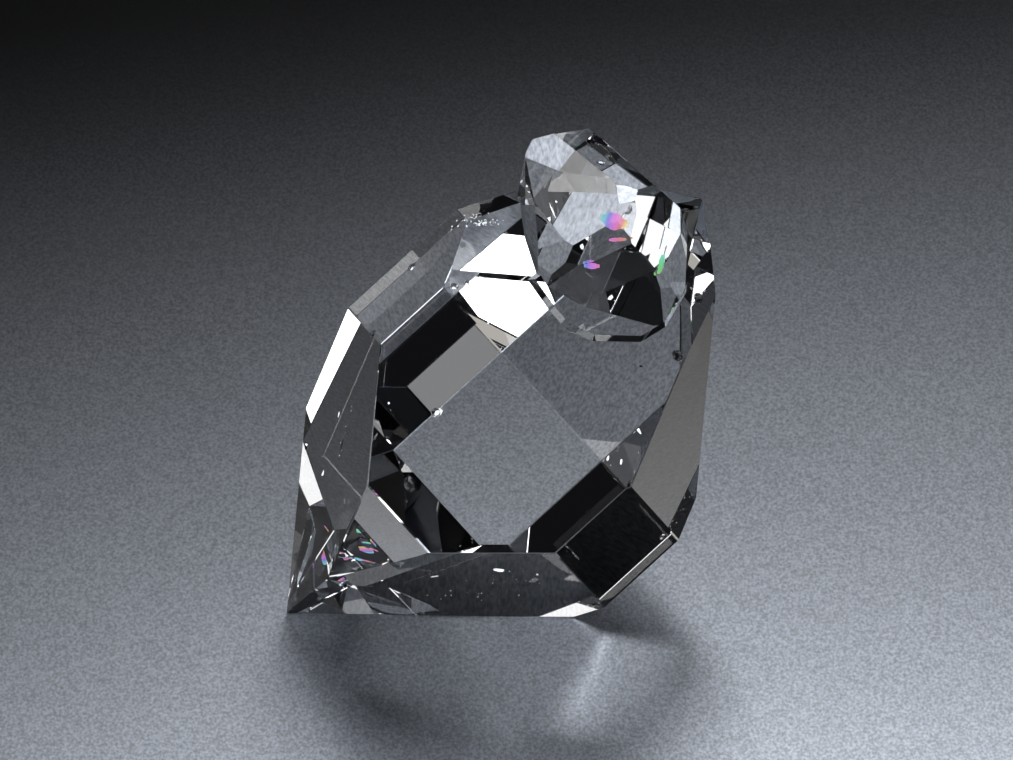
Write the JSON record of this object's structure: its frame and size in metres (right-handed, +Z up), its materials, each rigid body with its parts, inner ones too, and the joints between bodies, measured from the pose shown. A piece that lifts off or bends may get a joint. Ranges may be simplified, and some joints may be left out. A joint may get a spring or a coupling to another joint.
{
  "type": "herkimer diamond quartz crystal",
  "caption": "Clear doubly terminated quartz crystal with sharp flat faces and a smaller crystal grown into its shoulder, lying on an end face.",
  "frame": {"origin": "middle of the specimen's outline seen from above, on the surface that it rests on", "axes": "+Z up from the end face that it lies on; -Y towards the large front prism face; +X towards the upper point"},
  "size_m": [0.0138, 0.0128, 0.0153],
  "materials": {
    "clear_quartz": "water-clear quartz with mirror-smooth growth faces, faint growth lines and sharp edges",
    "dark_inclusion": "dull black and rust-brown specks sealed in the quartz",
    "pale_inclusion": "fine white specks and veils of specks sealed in the quartz",
    "rainbow_crack": "small inner cracks that throw light back in rainbow colours"
  },
  "bodies": {
    "root": {"herkimer_crystal": "clear_quartz"}
  },
  "joints": []
}
